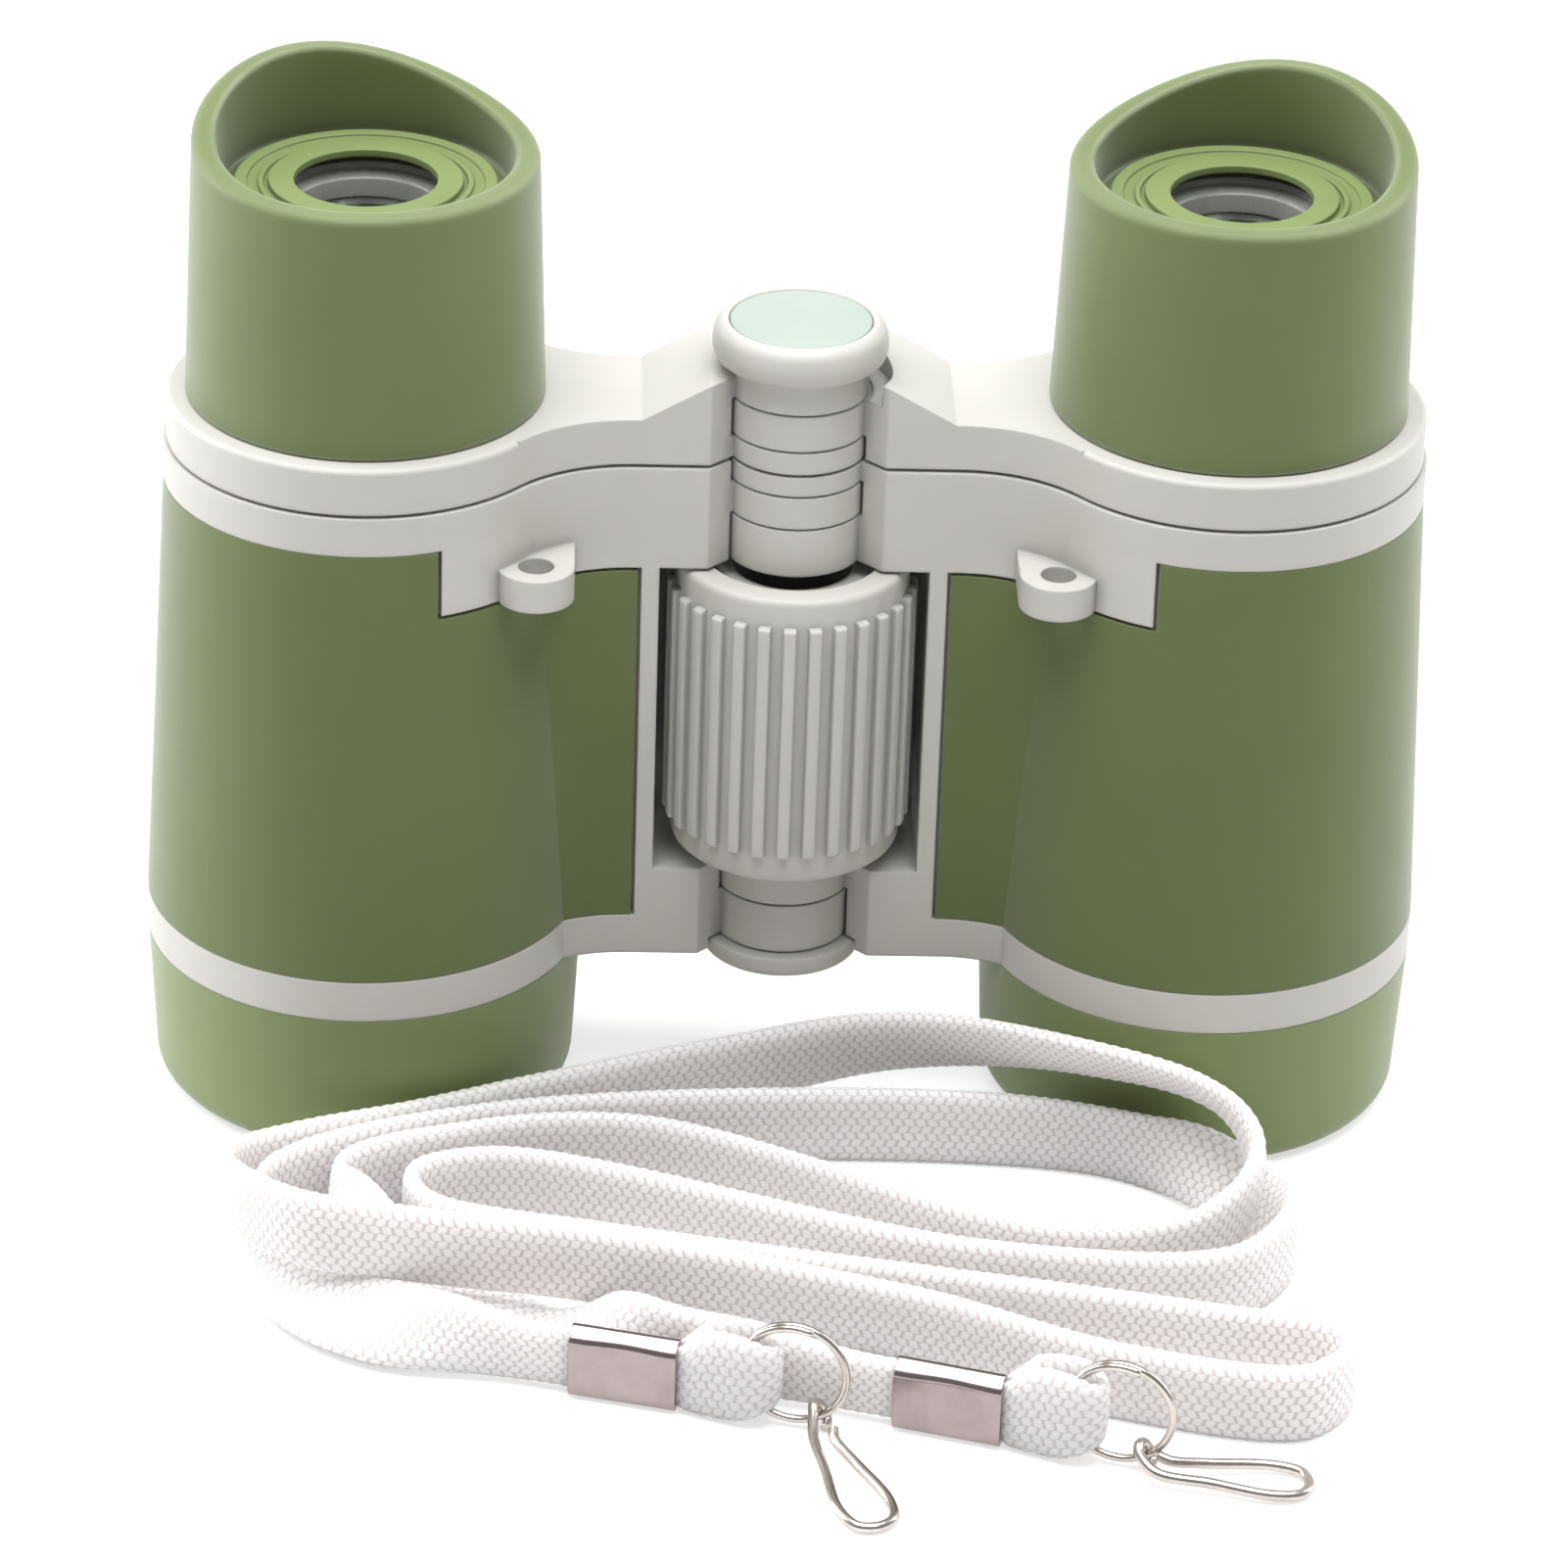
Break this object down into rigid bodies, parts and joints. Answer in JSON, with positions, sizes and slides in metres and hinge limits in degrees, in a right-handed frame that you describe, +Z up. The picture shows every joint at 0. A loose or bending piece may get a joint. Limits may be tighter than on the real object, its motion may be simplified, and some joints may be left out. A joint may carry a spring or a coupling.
{
  "type": "binoculars",
  "caption": "Small folding toy binoculars with winged eyecups, interleaved centre hinge, ribbed focus wheel, strap lugs and a loose flat neck strap with wire hooks",
  "frame": {"origin": "on the floor under the middle of the instrument, midway between the two optical axes", "axes": "+X runs across the barrels, +Z runs up along the optical axes to the eyecups, -Y is the face with the strap lugs"},
  "size_m": [0.1094, 0.0922, 0.0899],
  "materials": {
    "frame_grey": "satin moulded plastic",
    "grip_green": "matt soft-touch",
    "rim_green": "matt moulded plastic",
    "mint": "matt",
    "dark_plastic": "satin",
    "lens_glass": "polished",
    "steel": "plain",
    "nickel": "bright nickel plate",
    "strap_white": "braided"
  },
  "bodies": {
    "left_half": {"left_frame": "frame_grey", "left_grip": "grip_green", "left_objective_rim": "rim_green", "left_objective_lens": "lens_glass", "left_lens_ring": "dark_plastic", "pivot_pin": "steel", "pivot_cap": "frame_grey", "strap": "strap_white", "strap_crimp_1": "nickel", "strap_crimp_2": "nickel", "strap_loop_1": "strap_white", "strap_loop_2": "strap_white"},
    "right_half": {"right_frame": "frame_grey", "right_grip": "grip_green", "right_objective_rim": "rim_green", "right_objective_lens": "lens_glass", "right_lens_ring": "dark_plastic"},
    "wheel": {"focus_wheel": "frame_grey", "focus_nut": "dark_plastic"},
    "left_eyepiece": {"left_bridge_arm": "frame_grey", "left_eyecup": "grip_green", "left_eyepiece_disc": "rim_green", "left_eyepiece_cell": "dark_plastic", "left_eyepiece_lens": "lens_glass", "focus_screw": "steel", "hub_cap": "frame_grey", "hub_disc": "mint"},
    "right_eyepiece": {"right_bridge_arm": "frame_grey", "right_eyecup": "grip_green", "right_eyepiece_disc": "rim_green", "right_eyepiece_cell": "dark_plastic", "right_eyepiece_lens": "lens_glass"},
    "strap_end_1": {"strap_ring_1": "nickel", "strap_hook_1": "nickel"},
    "strap_end_2": {"strap_ring_2": "nickel", "strap_hook_2": "nickel"}
  },
  "joints": [
    {"name": "fold", "type": "hinge", "parent": "left_half", "child": "right_half", "pos_m": [0, -0.0017, 0.035], "axis": [0, 0, 1], "range_deg": [0, 60]},
    {"name": "bridge_lift", "type": "slide", "parent": "left_half", "child": "left_eyepiece", "axis": [0, 0, 1], "range_m": [0, 0.005]},
    {"name": "bridge_fold", "type": "hinge", "parent": "left_eyepiece", "child": "right_eyepiece", "pos_m": [0, -0.0017, 0.0635], "axis": [0, 0, 1], "range_deg": [0, 60]},
    {"name": "focus", "type": "hinge", "parent": "left_half", "child": "wheel", "pos_m": [0, -0.0017, 0.0377], "axis": [0, 0, 1], "range_deg": [0, 360]},
    {"name": "ring_swing_1", "type": "hinge", "parent": "left_half", "child": "strap_end_1", "pos_m": [-0.00413, -0.05688, 0.00505], "axis": [0, 0, 1], "range_deg": [-12, 5]},
    {"name": "ring_swing_2", "type": "hinge", "parent": "left_half", "child": "strap_end_2", "pos_m": [0.02175, -0.06171, 0.00505], "axis": [0, 0, 1], "range_deg": [-12, 5]}
  ],
  "couplings": [
    {"joint": "focus", "follows": "bridge_lift", "rad_per_m": 1256.6},
    {"joint": "bridge_fold", "follows": "fold", "ratio": 1}
  ]
}
